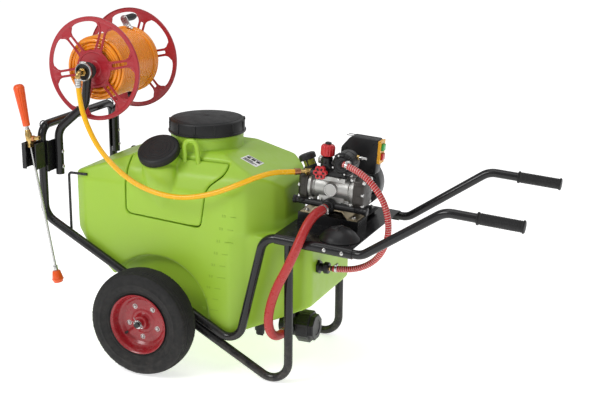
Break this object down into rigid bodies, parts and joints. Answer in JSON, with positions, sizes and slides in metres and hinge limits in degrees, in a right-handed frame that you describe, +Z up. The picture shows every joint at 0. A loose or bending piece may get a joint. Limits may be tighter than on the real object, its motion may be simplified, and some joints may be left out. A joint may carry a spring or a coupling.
{
  "type": "wheeled sprayer cart",
  "caption": "Wheelbarrow-style orchard sprayer: moulded tank on a tubular frame, hand-wash tank, motor pump on a rear deck, hose reel, spray lance and hoses.",
  "frame": {"origin": "on the ground, under the middle of the cart's overall length and width", "axes": "+X towards the handles, +Y towards the crank side of the reel, +Z up"},
  "size_m": [1.9192, 0.828, 1.266],
  "materials": {
    "aluminium": "die cast",
    "brass": "turned",
    "cover_black": "smooth",
    "fan_grey": "smooth",
    "frame_black": "gloss enamel",
    "head_grey": "satin",
    "hose_red": "ribbed",
    "hose_yellow": "smooth",
    "knob_green": "smooth",
    "knob_red": "smooth",
    "lid_black": "satin moulded",
    "orange": "smooth",
    "reel_red": "powder coat",
    "rubber_black": "soft",
    "sight_clear": "clear tinted",
    "steel": "zinc plated",
    "switch_yellow": "smooth",
    "tank_green": "satin moulded polyethylene",
    "tyre_black": "ribbed rubber",
    "wheel_red": "gloss enamel",
    "zinc_gold": "yellow zinc passivated"
  },
  "bodies": {
    "chassis": {"aux_tank": "tank_green", "axle": "steel", "axle_clips": "steel", "bracket_plates": "frame_black", "bypass_hose": "hose_red", "control_unit": "cover_black", "deck_cap": "cover_black", "deck_plate": "frame_black", "delivery_hose": "hose_yellow", "drain_plug": "knob_red", "fan_cover": "fan_grey", "filter_body": "lid_black", "frame_bolts": "steel", "front_crossbar": "frame_black", "grips": "rubber_black", "inlet_elbow": "brass", "lance_holder": "frame_black", "loop_tube_left": "frame_black", "loop_tube_right": "frame_black", "motor_housing": "frame_black", "motor_mounts": "rubber_black", "oil_sight": "sight_clear", "outlet_fitting": "brass", "pump_body": "aluminium", "pump_bracket": "zinc_gold", "pump_heads": "head_grey", "pump_manifold": "cover_black", "rail_tube_left": "frame_black", "rail_tube_right": "frame_black", "reel_bearings": "rubber_black", "reel_stand_left": "frame_black", "reel_stand_right": "frame_black", "return_fitting": "cover_black", "suction_hose": "hose_red", "switch_box": "cover_black", "switch_plate": "switch_yellow", "tank_hooks": "frame_black", "tank_shell": "tank_green"},
    "wheel_left": {"tyre_left": "tyre_black", "rim_left": "wheel_red"},
    "wheel_right": {"tyre_right": "tyre_black", "rim_right": "wheel_red"},
    "reel": {"reel_flange_left": "reel_red", "reel_flange_right": "reel_red", "reel_drum": "steel", "reel_hose": "hose_yellow"},
    "crank_handle": {"crank_knob": "cover_black"},
    "filler_lid": {"main_lid": "lid_black"},
    "wash_cap": {"aux_cap": "lid_black"},
    "strainer": {"filter_cap": "lid_black"},
    "dipstick": {"oil_cap": "cover_black"},
    "regulator": {"regulator_knob": "knob_red"},
    "tap": {"tap_knob": "knob_red"},
    "start_button": {"button_green": "knob_green"},
    "stop_button": {"button_red": "knob_red"},
    "rotor": {"motor_rotor": "steel"},
    "crankshaft": {"pump_crank": "steel"},
    "lance": {"lance_tube": "steel"},
    "lance_grip": {"lance_handle": "orange"},
    "lance_tip": {"lance_nozzle": "orange"}
  },
  "joints": [
    {"name": "wheel_left_spin", "type": "hinge", "parent": "chassis", "child": "wheel_left", "pos_m": [-0.4068, -0.36, 0.2], "axis": [0, 1, 0], "continuous": true},
    {"name": "wheel_right_spin", "type": "hinge", "parent": "chassis", "child": "wheel_right", "pos_m": [-0.4068, 0.36, 0.2], "axis": [0, 1, 0], "continuous": true},
    {"name": "reel_spin", "type": "hinge", "parent": "chassis", "child": "reel", "pos_m": [-0.7138, 0, 1.072], "axis": [0, 1, 0], "continuous": true},
    {"name": "crank_handle_spin", "type": "hinge", "parent": "reel", "child": "crank_handle", "pos_m": [-0.7928, 0.255, 1.209], "axis": [0, 1, 0], "continuous": true},
    {"name": "filler_lid_lift", "type": "slide", "parent": "chassis", "child": "filler_lid", "axis": [0, 0, 1], "range_m": [0, 0.08]},
    {"name": "wash_cap_lift", "type": "slide", "parent": "chassis", "child": "wash_cap", "axis": [0, -0.5, 0.866], "range_m": [0, 0.06]},
    {"name": "strainer_pull", "type": "slide", "parent": "chassis", "child": "strainer", "axis": [1, 0, 0], "range_m": [0, 0.1]},
    {"name": "dipstick_pull", "type": "slide", "parent": "chassis", "child": "dipstick", "axis": [-0.3622, 0, 0.9321], "range_m": [0, 0.04]},
    {"name": "regulator_turn", "type": "hinge", "parent": "chassis", "child": "regulator", "pos_m": [0.18958, -0.058, 0.83634], "axis": [0.0628, 0, 0.998], "range_deg": [-180, 180]},
    {"name": "tap_turn", "type": "hinge", "parent": "chassis", "child": "tap", "pos_m": [0.18306, -0.1, 0.76461], "axis": [0, 1, 0], "range_deg": [0, 90]},
    {"name": "start_button_press", "type": "slide", "parent": "chassis", "child": "start_button", "axis": [-0.998, 0, 0.0628], "range_m": [0, 0.003], "stiffness_N_per_m": 400},
    {"name": "stop_button_press", "type": "slide", "parent": "chassis", "child": "stop_button", "axis": [-0.998, 0, 0.0628], "range_m": [0, 0.003], "stiffness_N_per_m": 400},
    {"name": "rotor_spin", "type": "hinge", "parent": "chassis", "child": "rotor", "pos_m": [0.20622, 0.13, 0.65494], "axis": [0, 1, 0], "continuous": true},
    {"name": "crankshaft_spin", "type": "hinge", "parent": "chassis", "child": "crankshaft", "pos_m": [0.20873, -0.03, 0.69486], "axis": [0, 1, 0], "continuous": true},
    {"name": "lance_lift", "type": "slide", "parent": "chassis", "child": "lance", "axis": [-0.1761, 0, 0.9844], "range_m": [0, 0.15]},
    {"name": "lance_grip_twist", "type": "hinge", "parent": "lance", "child": "lance_grip", "pos_m": [-0.87935, -0.3, 0.672], "axis": [-0.1761, 0, 0.9844], "range_deg": [0, 180]},
    {"name": "lance_tip_twist", "type": "hinge", "parent": "lance", "child": "lance_tip", "pos_m": [-0.8078, -0.3, 0.272], "axis": [-0.1761, 0, 0.9844], "range_deg": [0, 180]}
  ],
  "couplings": [
    {"joint": "crankshaft_spin", "follows": "rotor_spin", "ratio": -0.33333}
  ]
}
